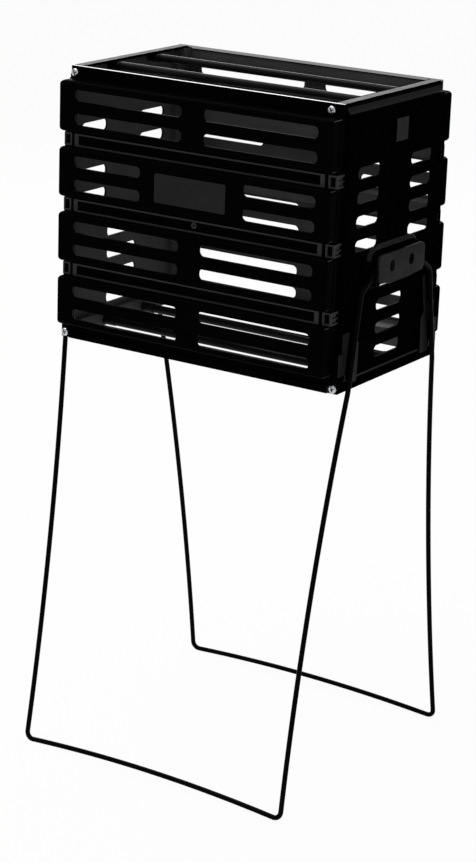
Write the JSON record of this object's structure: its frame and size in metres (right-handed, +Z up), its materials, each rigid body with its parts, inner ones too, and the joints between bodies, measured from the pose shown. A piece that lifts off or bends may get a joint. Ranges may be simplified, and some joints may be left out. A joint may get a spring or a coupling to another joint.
{
  "type": "tennis ball hopper",
  "caption": "Slotted plastic basket with rolling bars that pick up tennis balls, on two wire frames that are legs below and swing up into a carrying handle.",
  "frame": {"origin": "on the floor, below the middle of the basket", "axes": "+X along the long side to the right, +Y to the rear, away from the label side, +Z up"},
  "size_m": [0.376, 0.3412, 0.76],
  "materials": {
    "shell_plastic": "black, satin gloss",
    "cover_plastic": "black, satin",
    "bar_plastic": "black, smooth",
    "bush_plastic": "black",
    "label_plastic": "bare dark grey plate",
    "coated_wire": "black coated steel wire",
    "bright_zinc": "bright zinc plated",
    "dark_steel": "blackened"
  },
  "bodies": {
    "basket": {"front_panel": "shell_plastic", "rear_panel": "shell_plastic", "left_end_panel": "shell_plastic", "right_end_panel": "shell_plastic", "left_hub_cover": "cover_plastic", "right_hub_cover": "cover_plastic", "label_plate": "label_plastic", "top_front_bush_left": "bush_plastic", "top_front_bush_right": "bush_plastic", "top_rear_bush_left": "bush_plastic", "top_rear_bush_right": "bush_plastic", "bottom_front_bush_left": "bush_plastic", "bottom_front_bush_right": "bush_plastic", "bottom_rear_bush_left": "bush_plastic", "bottom_rear_bush_right": "bush_plastic", "front_top_screw_left": "bright_zinc", "front_top_screw_right": "bright_zinc", "front_bottom_screw_left": "bright_zinc", "front_bottom_screw_right": "bright_zinc", "rear_top_screw_left": "bright_zinc", "rear_top_screw_right": "bright_zinc", "rear_bottom_screw_left": "bright_zinc", "rear_bottom_screw_right": "bright_zinc", "left_hub_screw_front": "dark_steel", "left_hub_screw_rear": "dark_steel", "right_hub_screw_front": "dark_steel", "right_hub_screw_rear": "dark_steel"},
    "front_legs": {"front_leg_frame": "coated_wire"},
    "rear_legs": {"rear_leg_frame": "coated_wire"},
    "top_front_bar": {"top_front_bar": "bar_plastic"},
    "top_rear_bar": {"top_rear_bar": "bar_plastic"},
    "bottom_front_bar": {"bottom_front_bar": "bar_plastic"},
    "bottom_rear_bar": {"bottom_rear_bar": "bar_plastic"}
  },
  "joints": [
    {"name": "front_frame_swing", "type": "hinge", "parent": "basket", "child": "front_legs", "pos_m": [0, -0.043, 0.5805], "axis": [-1, 0, 0], "range_deg": [0, 171.3]},
    {"name": "rear_frame_swing", "type": "hinge", "parent": "basket", "child": "rear_legs", "pos_m": [0, 0.043, 0.5805], "axis": [1, 0, 0], "range_deg": [0, 171.3]},
    {"name": "top_front_bar_roll", "type": "hinge", "parent": "basket", "child": "top_front_bar", "pos_m": [0, -0.037, 0.7538], "axis": [1, 0, 0], "continuous": true},
    {"name": "top_rear_bar_roll", "type": "hinge", "parent": "basket", "child": "top_rear_bar", "pos_m": [0, 0.037, 0.7538], "axis": [1, 0, 0], "continuous": true},
    {"name": "bottom_front_bar_roll", "type": "hinge", "parent": "basket", "child": "bottom_front_bar", "pos_m": [0, -0.037, 0.4671], "axis": [1, 0, 0], "continuous": true},
    {"name": "bottom_rear_bar_roll", "type": "hinge", "parent": "basket", "child": "bottom_rear_bar", "pos_m": [0, 0.037, 0.4671], "axis": [1, 0, 0], "continuous": true}
  ]
}
